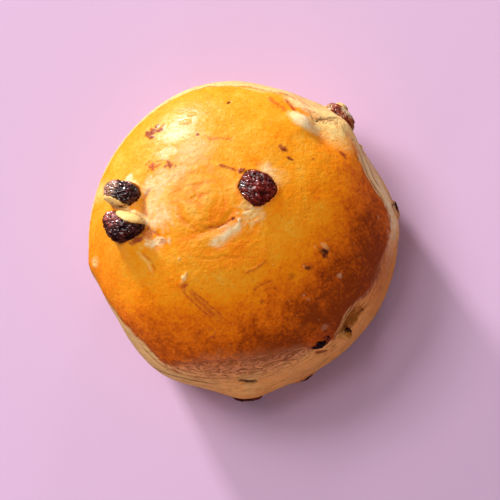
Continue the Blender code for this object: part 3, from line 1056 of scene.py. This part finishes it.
MARKS: tuple[Mark, ...] = (
    # Whitish patches at the upper left of the crown: a chalky pale film with a painted highlight over it.
    Mark(116.5, 54, 6.2, 2.9, -31, bloom=0.72, ragged=0.8, soft=1.6),
    Mark(119, 55, 3.2, 1.7, -33, bloom=0.9, ragged=0.9, soft=1.3),
    Mark(128, 47.5, 3.8, 1.9, -38, bloom=0.65, ragged=0.9, soft=1.5),
    Mark(112.5, 40.5, 6, 4.6, bloom=0.42, soft=1.8),
    Mark(181, 33.5, 3.6, 3.6, bloom=0.55, ragged=0.9, soft=1.8),
    Mark(186, 38, 2.4, 2.4, bloom=0.65, ragged=0.9, soft=1.3),
    Mark(155, 58.5, 2, 1.4, bloom=0.7),
    # A pale spot near the left edge: pale dough with a painted highlight.
    Mark(163, 78, 3.2, 6.5, cream=0.55, ragged=0.3, soft=1.4),
    Mark(192.5, 82.5, 1.6, 2.2, cream=0.6),
    Mark(127.5, 65.5, 2.9, 2, -17, 0.1, stain=1, char=0.45, ragged=1.3),
    Mark(141, 49, 2.6, 1.4, -51, 0.1, stain=0.9, ragged=1.3),
    Mark(132.5, 40.5, 2, 1.2, -52, 0.1, stain=1, char=0.3, ragged=1.1),
    Mark(86.5, 66.5, 0.8, 0.6, 47, -0.35, char=0.85),
    Mark(88.7, 66, 0.35, 0.3, char=0.6),
    Mark(110, 59, 1.7, 0.8, -20, 0.35, bloom=0.45, ragged=0.3),
    Mark(110, 68.5, 1.6, 0.6, -20, 0.3, bloom=0.35, ragged=0.3),
    Mark(105.5, 62, 1.3, 0.6, -20, 0.25, bloom=0.35, ragged=0.3),
    Mark(103.5, 48.5, 0.6, 0.45, stain=0.9, char=0.3),
    Mark(204.5, 39.5, 3.6, 1.2, 68, 0.12, bloom=0.8, ragged=1.1, soft=1),
    Mark(207, 36, 1.6, 0.7, 75, stain=0.6, ragged=1),
    # Dark patches at the lower-left raisin's right and lower side: painted shadow of the raisin on the dough, over a
    # shallow groove.
    Mark(192, 43.2, 2.9, 1.6, 32, -0.15, stain=0.85, soft=1),
    Mark(196, 48.5, 2.8, 0.9, 90, stain=0.9, char=0.25, ragged=0.4, soft=1),
    Mark(149, 38.5, 4.5, 3.2, bloom=0.55, ragged=0.7, soft=1.6),
    Mark(156, 43.5, 3.2, 2.4, bloom=0.65, ragged=0.7, soft=1.4),
    Mark(133, 34, 3.6, 2.6, bloom=0.45, ragged=0.7, soft=1.6),
    # A pale patch under the cream bump: painted light over the bump's shadow.
    Mark(43.5, 73.5, 2.4, 1.8, cream=0.8, bloom=0.3, soft=1.4),
    Mark(51, 37, 3, 2.4, bake=0.16, soft=1.4),
    Mark(244, 42.5, 1.4, 0.8, 71, 0.3, bloom=0.45, cream=0.4, ragged=0.6),
    Mark(246.5, 47, 1.5, 0.9, 71, stain=0.75, ragged=0.8),
    Mark(232.5, 35, 0.6, 0.5, rise=0.2, cream=0.6),
    # The bright top of the crown fold's lip: a painted highlight.
    Mark(337, 18, 0.9, 0.6, -5, 0.1, bloom=0.9, ragged=0.6),
    Mark(331, 14.3, 0.6, 0.5, rise=-0.2, char=0.6, stain=0.6),
    Mark(54, 28.5, 1.3, 1.1, rise=0.35, stain=1, char=0.35),
    Mark(356, 23, 3.4, 2.8, cream=0.8, bloom=0.15, ragged=1.2, soft=1.7),
    # By the centre raisin's upper right: a painted highlight on a small rise, and painted light beside it.
    Mark(36.5, 38.5, 2.2, 1.7, rise=0.15, bloom=0.6, ragged=0.4, soft=1.7),
    Mark(26, 38, 2.4, 3.8, cream=0.6, soft=1.7),
    Mark(3, 36.5, 2.6, 2, bake=0.15, soft=1.2),
    Mark(314, 5, 4, 4, bake=0.14, soft=1.4),
    # A small crater: its raised rim, on the side towards the lamps, is painted light, its pit is painted shade, and it
    # has a painted glint. After it comes a small pit with a painted lit edge.
    Mark(340.3, 62.6, 1.7, 0.8, 70, 0.45, cream=0.35, ragged=0.4),
    Mark(336.9, 64.4, 2, 1.2, 60, -0.45, stain=0.9, char=0.8, ragged=0.4),
    Mark(338, 63, 0.35, 0.3, rise=0.2, bloom=0.7),
    Mark(326.5, 60.5, 1.2, 0.55, -60, -0.2, char=0.75, stain=0.6),
    Mark(326, 58.7, 0.4, 0.3, rise=0.15, bloom=0.35),
    Mark(331, 74, 1, 0.6, rise=0.2, stain=0.4, bloom=0.55, ragged=1.2),
    Mark(317.5, 57, 1.2, 1, olive=0.45, ragged=0.6),
    Mark(306.5, 56, 0.5, 0.45, rise=-0.2, char=0.45),
    Mark(296, 57.5, 0.7, 0.6, rise=-0.15, stain=0.6, char=0.2),
    Mark(265.5, 67.5, 0.9, 0.7, rise=0.15, stain=0.8),
    # Small raised dots with painted glints, as on tiny blisters.
    Mark(359.5, 87, 0.45, 0.4, rise=0.15, bloom=0.4),
    Mark(338, 59, 0.5, 0.4, rise=0.15, bloom=0.2),
    Mark(314.5, 66.5, 0.5, 0.4, rise=0.12, bloom=0.25),
    Mark(315, 69, 0.45, 0.4, rise=0.12, bloom=0.25),
    Mark(9, 56.5, 3, 2.2, bake=0.14, stain=0.08, soft=1.2),
    Mark(3, 71.5, 2.6, 2, bake=0.12, soft=1.2),
    Mark(356.5, 95.5, 0.45, 0.9, char=0.85),
    Mark(49.5, 70.8, 4.4, 2.4, 5, bloom=0.8, cream=0.9, ragged=0.2, soft=0.9),
    Mark(41.5, 81.5, 8.2, 4.4, 4, cream=0.85, ragged=0.15, soft=1.4),
    Mark(58, 80, 5, 2.4, bloom=0.5, cream=0.75, soft=1),
    Mark(76, 80, 6, 1.4, cream=0.5, soft=1),
    Mark(43.5, 53, 1.4, 1, -3, 0.15, stain=1, char=0.35, ragged=0.8),
    Mark(43.5, 53, 0.7, 0.35, -3, 0.15, cream=0.6),
    Mark(35, 52, 1.1, 0.5, 30, stain=1, char=0.65),
    Mark(26.5, 78, 1.7, 0.7, 13, -0.1, stain=1, char=0.3, ragged=0.7),
    Mark(28.5, 62, 0.4, 0.35, stain=0.9),
    Mark(304, 95, 2.3, 0.7, 131, -0.2, stain=0.9, char=0.4),
    Mark(306, 88.5, 2.8, 1, -25, -0.1, stain=0.8, char=0.5),
    Mark(312, 84, 1.4, 0.9, stain=0.4, bloom=0.25, ragged=0.9),
    Mark(320.5, 95, 5.6, 3.9, 3, olive=1, ragged=0.45, soft=0.9),
    Mark(323.5, 92.5, 1.6, 1.4, 0, char=0.3, soft=1),
    Mark(275, 99, 4.6, 3.6, cream=0.25, ragged=0.4, soft=1.2),
    Mark(277, 91, 4, 2.2, cream=0.3, ragged=0.9, soft=1.4),
    # A whitish band along the right side: pale strands, with painted light over this shaded side.
    Mark(8, 99, 15, 2.8, bloom=0.8, ragged=1.2, soft=1.4),
    Mark(279, 26, 7, 5, bake=0.07, soft=1.6),
    Mark(31.5, 97, 0.9, 0.9, rise=0.8, cream=0.5),
    Mark(325.5, 98, 0.5, 0.5, char=0.7),
    Mark(341, 97, 10, 6, stain=0.45, ragged=0.6, soft=1.6),
    Mark(45.5, 76, 3.8, 3, cream=0.8, ragged=0.2, soft=1.3),
)


@dataclass
class Dough:
    """The bun's body: crust, pale side, folds, stains, painted highlights and painted shade, and pockets that hug the
    raisins.
    """

    form: BunForm = BunForm()
    cells: int = 126
    lump_rise: float = 0.4 * MM
    lump_size: float = 14 * MM
    cap_lip: float = 0.4 * MM
    lip_width: float = 2.0
    lip_fade: float = 24.0
    edge_sway: float = 1.6
    edge_shake: float = 0.8
    foot_fade: float = math.radians(12)
    foot_start: float = 128.0
    foot_span: float = 10.0
    seed: float = 11.0
    bake_azimuth: float = 305.0
    bake_least: float = 0.29
    bake_half: float = 60.0
    bake_drop: float = 0.05
    browning: tuple[tuple[float, float, float, float], ...] = (
        (8, 50, 38, 0.52), (30, 60, 30, 0.28), (60, 56, 30, 0.16), (90, 68, 24, 0.08), (170, 62, 34, 0.08),
        (205, 52, 40, 0.28), (235, 38, 46, 0.5), (252, 36, 42, 0.49), (281, 36, 42, 0.6), (301, 36, 44, 0.68),
        (314, 36, 46, 0.66), (328, 37, 46, 0.75), (350, 45, 39, 0.66),
    )
    settle: float = 0.30 * MM
    shake_size: float = 1.1 * MM
    shake_rise: float = 0.05 * MM
    sway_size: float = 4.0 * MM
    sway_rise: float = 0.07 * MM
    streak_size: float = 0.9 * MM
    streak_rise: float = 0.07 * MM
    streak_stretch: float = 9.0
    flow_per_radian: float = 0.04
    swells: tuple[Swell, ...] = SWELLS
    folds: tuple[Fold, ...] = (
        Fold(135, 11, 10.5, 38, 110, 2, 0.3, 0.2),
        Fold(135, 11, 18.5, -58, 8, 3.6, 0.4, 0.2),
    )
    swirl: Swirl = Swirl()
    # How much the swirl's arcs lighten on their crests and darken in their grooves: painted light and painted shade on
    # the arcs.
    arc_shading: float = 2.2
    strokes: tuple[Stroke, ...] = STROKES
    marks: tuple[Mark, ...] = MARKS
    films: tuple[Mark, ...] = (
        Mark(171, 57.8, 4.9, 1.5, 70, cream=0.9, ragged=0.3, soft=0.4),
        Mark(179.5, 48.5, 5.2, 2.2, 66, cream=0.9, ragged=0.3, soft=0.4),
        Mark(49, 101, 2.4, 2, 30, cream=0.9),
    )
    film_reach: float = 5.0 * MM
    windows: tuple[Mark, ...] = (Mark(315.3, 96.3, 0.34, 0.3, ragged=0, soft=0.2),)
    halo: float = 0.5
    edge: tuple[tuple[float, float, float], ...] = (
        (2, 96.5, 3), (10, 91, 3), (18, 87, 3), (25, 86.5, 3), (33, 86, 5), (40, 84, 6), (47, 78, 8), (58, 82, 6),
        (71, 81.5, 4), (84, 82.5, 3), (100, 83, 3), (150, 84, 3), (170, 84.5, 3), (190, 90, 4), (205, 89, 3),
        (226, 83, 3), (236, 84, 3), (244, 87, 5), (250, 85, 12), (259, 81, 24), (270, 80, 28), (283, 81, 26),
        (294, 83, 21), (303, 86, 12), (308, 91.5, 4), (311, 93, 3), (315, 91, 3), (320.5, 88.3, 3), (326, 88, 5),
        (331, 90.5, 9), (337, 92, 9), (342, 91.5, 5), (349, 95, 4), (356, 97, 3),
    )
    tones: tuple[tuple[float, float], ...] = (
        (3, 0.8), (12, 1), (30, 1), (60, 1), (120, 0.9), (226, 1), (245, 0.8), (262, 0.35), (272, 0.1), (279, 0.1),
        (290, 0.2), (305, 0.2), (320, 0.15), (335, 0), (345, 0.05), (354, 0.3),
    )
    wrinkle_size: float = 2.0 * MM
    wrinkle_rise: float = 0.45 * MM
    wrinkle_stretch: float = 2.5
    wrinkle_sway: float = 0.6 * MM
    neighbourhood: float = 14 * MM
    search: float = 10 * MM
    overlap: float = 0.30 * MM
    draw: float = 0.30 * MM
    draw_reach: float = 0.8 * MM
    halo_reach: float = 0.5 * MM
    halo_fade: float = 2 * MM
    film_lift: float = 0.32 * MM
    film_swell: float = 0.55 * MM
    window_bite: float = 12 * MM
    blistered: tuple[Swell, ...] = (
        Swell(318, 66, 16, 10, 1),
        Swell(10, 62, 12, 12, 0.35),
        Swell(265, 60, 16, 9, 0.5),
        Swell(95, 60, 14, 10, 0.25),
    )

    def grid(self) -> tuple[Array, Array]:
        """A six-sided sphere of even cells.

        Returns:
            Unit vectors, and the corners of each face.
        """
        n = self.cells
        steps = np.arange(n + 1)
        first, second = (a.ravel() for a in np.meshgrid(steps, steps, indexing="ij"))
        corner = (np.arange(n)[:, None] * (n + 1) + np.arange(n)[None]).ravel()
        quads = np.stack([corner, corner + n + 1, corner + n + 2, corner + 1], axis=1)
        points, faces = [], []
        for axis in range(3):
            for high in (False, True):
                cell = np.zeros((len(first), 3), dtype=np.int64)
                cell[:, axis] = n if high else 0
                cell[:, (axis + 1) % 3], cell[:, (axis + 2) % 3] = first, second
                faces.append((quads if high else quads[:, ::-1]) + len(first) * len(points))
                points.append(cell)
        cells = np.concatenate(points)
        keys = (cells[:, 0] * (n + 1) + cells[:, 1]) * (n + 1) + cells[:, 2]
        _, index, inverse = np.unique(keys, return_index=True, return_inverse=True)
        cube = cells[index] / n * 2.0 - 1.0
        return unit(np.tan(cube * math.pi / 4)), inverse[np.concatenate(faces)]

    def cap_edge(self, azimuth: Array) -> tuple[Array, Array]:
        """The polar angle at which the browned cap ends, and how softly, in degrees."""
        turns, polars, softness = (np.array(column, dtype=float) for column in zip(*self.edge))
        place = np.degrees(azimuth) % 360
        return np.interp(place, turns, polars, period=360), np.interp(place, turns, softness, period=360)

    def build(self, pockets: Iterable[Pocket]) -> bpy.types.Object:
        """Makes the dough.

        Args:
            pockets: The raisins.

        Returns:
            The finished body.
        """
        directions, faces = self.grid()
        plain = self.form.plain(directions)
        normals = self.form.normals(directions)
        azimuth = np.arctan2(directions[:, 1], directions[:, 0])
        polar = np.degrees(np.arccos(np.clip(directions[:, 2], -1, 1)))
        shake = lumps(plain, self.shake_size, 3.0)
        sway = lumps(plain, self.sway_size, 5.0, octaves=2)

        rise = sum(swell.rise * MM * swell.mask(self.form, plain) for swell in self.swells)
        rise += sum(fold.rise(self.form, plain) for fold in self.folds)
        rise += self.lump_rise * lumps(plain, self.lump_size, self.seed)
        rise -= self.settle
        tints = {name: np.zeros(len(plain)) for name in (*TINTS, "bake")}
        for stroke in self.strokes:
            line = stroke.mask(self.form, plain, sway)
            rise += stroke.rise * MM * line
            stroke.colour(tints, line)
        for mark in self.marks + self.films:
            spot = mark.mask(self.form, plain, shake)
            rise += mark.rise * MM * spot * (1.0 + 0.6 * shake)
            tints["bake"] += mark.bake * spot
            mark.colour(tints, spot)

        cap_end, softness = self.cap_edge(azimuth)
        past_edge = polar - cap_end + self.edge_sway * sway + self.edge_shake * shake
        side = smooth(past_edge / softness + 0.4)
        lip = smooth(-past_edge / self.lip_width) * (1 - smooth((-past_edge - 1.0) / self.lip_fade))
        rise += self.cap_lip * lip
        round_about = self.form.radius * np.stack([np.cos(azimuth), np.sin(azimuth)])
        flow = np.stack([*round_about, np.radians(polar) * self.flow_per_radian], axis=1)
        stretched = flow * (1 / self.streak_stretch, 1 / self.streak_stretch, 1.0)
        rise += self.streak_rise * lumps(stretched, self.streak_size, 9.0) * side
        waved = flow * (1 / self.wrinkle_stretch, 1 / self.wrinkle_stretch, 1.0)
        crinkle = lumps(waved + sway[:, None] * self.wrinkle_sway, self.wrinkle_size, 17.0)
        rise += self.wrinkle_rise * crinkle * side * (1 - side) * 4
        rise += self.shake_rise * shake
        rise += self.sway_rise * sway * (1 - side)
        arcs = self.swirl.rise(self.form, plain)
        rise += arcs
        # Painted light on the arcs' crests and painted shade in their grooves.
        tints["bake"] -= self.arc_shading * arcs / MM
        rise = rise * (1 - smooth((np.radians(polar) - self.form.tuck_end + self.foot_fade) / self.foot_fade))

        points = plain + normals * rise[:, None]
        points = self.sink(points, normals, pockets, tints)
        points[:, 2] = np.maximum(points[:, 2], 0.0)
        points[plain[:, 2] == 0, 2] = 0.0
        points = np.clip(points, *np.array(CAD_BOX))

        mesh = bpy.data.meshes.new("bun_crust")
        mesh.from_pydata(points.tolist(), [], faces.tolist())
        mesh.shade_smooth()
        tints["bake"] += self.baking(azimuth, polar)
        fresh = sum(swell.rise * swell.mask(self.form, plain) for swell in self.blistered)
        tone = np.interp(np.degrees(azimuth) % 360, *map(np.array, zip(*self.tones)), period=360)
        foot = smooth((polar - self.foot_start) / self.foot_span)
        layers = {"side": side, "foot": foot, "flow": flow, "tone": tone, "blister": np.clip(fresh, 0, 1) * (1 - side)}
        for name, values in {**tints, **layers}.items():
            set_attribute(mesh, name, values)
        mesh.update()
        piece = new_piece("bun_crust", mesh)
        mesh.materials.append(CrustFinish().make())
        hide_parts("bun")
        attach(piece, "root")
        log.info("%s: %d faces", piece.name, len(mesh.polygons))
        return piece

    def baking(self, azimuth: Array, polar: Array) -> Array:
        """How brown the crust is, from 0 to 1: brownest low on the front and right.

        Args:
            azimuth: Azimuths in radians.
            polar: Polar angles in degrees.

        Returns:
            One value for each point.
        """
        place = np.degrees(azimuth) % 360
        turns, *knots = (np.array(column, dtype=float) for column in zip(*self.browning))
        start, span, depth = (np.interp(place, turns, knot, period=360) for knot in knots)
        away = np.degrees(np.abs(turned(azimuth - math.radians(self.bake_azimuth))))
        pale_side = smooth((away - self.bake_half) / self.bake_half)
        low = smooth((polar - start) / span)
        drop = self.bake_drop + self.bake_drop * smooth((polar - 30.0) / 50.0)
        return self.bake_least + depth * low - pale_side * drop

    def sink(self, points: Array, normals: Array, pockets: Iterable[Pocket], tints: dict[str, Array]) -> Array:
        """Presses the dough in under each raisin, and draws it up over the raisin's rim.

        Args:
            points: The dough's surface.
            normals: Its outward directions.
            pockets: The raisins.
            tints: The dough's tints, which gain a dark halo round each raisin.

        Returns:
            The new surface.
        """
        even, groups = np.zeros(len(points)), (self.films, self.windows)
        films, openings = (sum(mark.mask(self.form, points, even) for mark in group) for group in groups)
        moved = points.copy()
        for pocket in pockets:
            centre = np.array(pocket.middle)
            for i in np.flatnonzero(np.linalg.norm(points - centre, axis=1) < self.neighbourhood):
                place, outward = Vector(points[i]), Vector(normals[i])
                spot, face_normal, _, distance = pocket.skin.find_nearest(place, self.search)
                if spot is None:
                    continue
                if (place - spot).dot(face_normal) > 0:
                    moved[i] = moved[i] + normals[i] * self.draw * math.exp(-((distance / self.draw_reach) ** 2))
                    halo = math.exp(-((distance / self.halo_reach) ** 2))
                    tints["stain"][i] = max(tints["stain"][i], self.halo * halo)
                    continue
                above = pocket.skin.ray_cast(place, outward)[3] or 0.0
                if above < pocket.cover + self.film_reach * films[i] - self.window_bite * openings[i]:
                    film = self.film_lift + self.film_swell * min(films[i], 1.0)
                    moved[i] = points[i] + normals[i] * (above + film)
                    halo = max(0.0, 1 - films[i] - above / self.halo_fade)
                    tints["stain"][i] = max(tints["stain"][i], self.halo * halo)
                else:
                    hit = pocket.skin.ray_cast(place, -outward)[0]
                    if hit is not None:
                        moved[i] = np.array(hit) + normals[i] * self.overlap
        return moved


# ---- blisters


@dataclass
class Blisters:
    """Tiny blisters in the baked glaze, scattered by a Geometry Nodes tree over the crust."""

    density: float = 45000.0
    smallest: float = 0.10 * MM
    largest: float = 0.28 * MM
    seed: int = 4

    def tree(self) -> Growth:
        """Points on the crust where its blister attribute is high, each a low dome."""
        g = Growth("glaze_blisters", ("Density", "Smallest", "Largest"), {"Seed": "Int"})
        share = g.node("GeometryNodeInputNamedAttribute", {"data_type": "FLOAT"}, {"Name": "blister"})
        density = share * g["Density"]
        inputs = {"Mesh": g["Geometry"], "Density": density, "Seed": g["Seed"]}
        spots = g.node("GeometryNodeDistributePointsOnFaces", {"distribute_method": "RANDOM"}, inputs)
        inputs = {2: g["Smallest"], 3: g["Largest"], "Seed": g["Seed"]}
        size = g.node("FunctionNodeRandomValue", {"data_type": "FLOAT"}, inputs, 1)
        flat = g.node("ShaderNodeCombineXYZ", {}, {0: size, 1: size, 2: size * 0.45})
        dome = g.node("GeometryNodeMeshIcoSphere", {}, {"Radius": 1.0, "Subdivisions": 2})
        inputs = {"Points": spots, "Instance": dome, "Rotation": spots.sibling(2), "Scale": flat}
        placed = g.node("GeometryNodeInstanceOnPoints", {}, inputs)
        whole = g.node("GeometryNodeRealizeInstances", {}, {"Geometry": placed})
        # The blisters take a little of the pale tint: painted glints, partly pale glaze.
        return g.close(g.store(whole, "cream", 0.16))

    def build(self, body: bpy.types.Object) -> bpy.types.Object:
        """Scatters the blisters over the crust."""
        copy = new_piece("bun_blisters_start", body.data.copy())
        values = {name.title(): value for name, value in vars(self).items()}
        values["Skin"] = body.data.materials[0]
        piece = self.tree().apply(copy, "bun_blisters", values)
        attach(piece, "root")
        log.info("%s: %d faces", piece.name, len(piece.data.polygons))
        return piece


# ---- studio


@dataclass(frozen=True)
class Lamp:
    """An area lamp aimed at the bun from an azimuth and an elevation, in degrees."""

    name: str
    azimuth: float
    elevation: float
    power: float
    width: float
    height: float
    distance: float = 0.9
    glossy: bool = True

    def hang(self, target: Vector) -> None:
        """Adds the lamp to the scene, aimed at the target."""
        towards = Vector(direction(self.azimuth, 90.0 - self.elevation))
        data = bpy.data.lights.new(self.name, "AREA")
        data.shape = "RECTANGLE"
        data.size, data.size_y = self.width, self.height
        data.energy = self.power
        lamp = bpy.data.objects.new(self.name, data)
        turn = towards.to_track_quat("Z", "Y").to_matrix().to_4x4()
        lamp.matrix_world = Matrix.Translation(target + towards * self.distance) @ turn
        lamp.visible_glossy = self.glossy
        bpy.context.scene.collection.objects.link(lamp)


@dataclass
class Studio:
    """A plain pale floor, soft lamps and the camera."""

    floor: Colour = (0.70, 0.455, 0.655)
    floor_half: float = 1.5
    ambient: float = 0.19
    tilt: float = 20.0
    side: float = -45.0
    distance: float = 0.6
    lens: float = 141.4
    aim: Colour = (0.00344, -0.00529, 0.02)
    lamps: tuple[Lamp, ...] = (
        Lamp("key", 137, 51, 20.5, 0.8, 0.8, 2.0),
        Lamp("low_window", 121, 13, 112.0, 0.34, 0.30, 3.0),
        Lamp("overhead", 150, 80, 3.8, 0.5, 0.5, 1.5, glossy=False),
        Lamp("front_fill", 318, 22, 4.5, 1.4, 0.8, 2.2, glossy=False),
        Lamp("rim_fill", 75, 12, 15.0, 0.6, 0.3, 3.0, glossy=False),
        Lamp("left_fill", 246, 13, 11.0, 0.6, 0.3, 3.0, glossy=False),
    )

    def build(self) -> None:
        """Adds the floor, the lamps, the world and the camera."""
        half = self.floor_half
        mesh = bpy.data.meshes.new("floor")
        mesh.from_pydata([(-half, -half, 0), (half, -half, 0), (half, half, 0), (-half, half, 0)], [], [(0, 1, 2, 3)])
        mesh.materials.append(PlainFinish("floor", self.floor).make())
        floor = new_piece("floor", mesh)
        floor.visible_glossy = False
        target = Vector(self.aim)
        for lamp in self.lamps:
            lamp.hang(target)
        world = bpy.data.worlds.new("studio")
        world.use_nodes = True
        background = world.node_tree.nodes["Background"]
        background.inputs["Color"].default_value = (1.0, 1.0, 1.0, 1.0)
        background.inputs["Strength"].default_value = self.ambient
        world.cycles_visibility.glossy = False
        bpy.context.scene.world = world
        self.place_camera(target)
        bpy.context.scene.view_settings.view_transform = "Standard"

    def place_camera(self, target: Vector) -> None:
        """Looks down on the target, with +Y upwards in the view."""
        back = Vector(direction(self.side, self.tilt))
        right = Vector((0, 1, 0)).cross(back).normalized()
        data = bpy.data.cameras.new("camera")
        data.sensor_width, data.lens = 36.0, self.lens
        camera = bpy.data.objects.new("camera", data)
        turn = Matrix([right, back.cross(right), back]).transposed().to_4x4()
        camera.matrix_world = Matrix.Translation(target + back * self.distance) @ turn
        bpy.context.scene.collection.objects.link(camera)
        bpy.context.scene.camera = camera


def main() -> None:
    """Builds the raisins, the dough round them, its blisters, and the studio."""
    logging.basicConfig(level=logging.INFO, format="%(message)s")
    body = Dough().build(Raisins().build())
    Blisters().build(body)
    Studio().build()


if __name__ == "__main__":
    main()
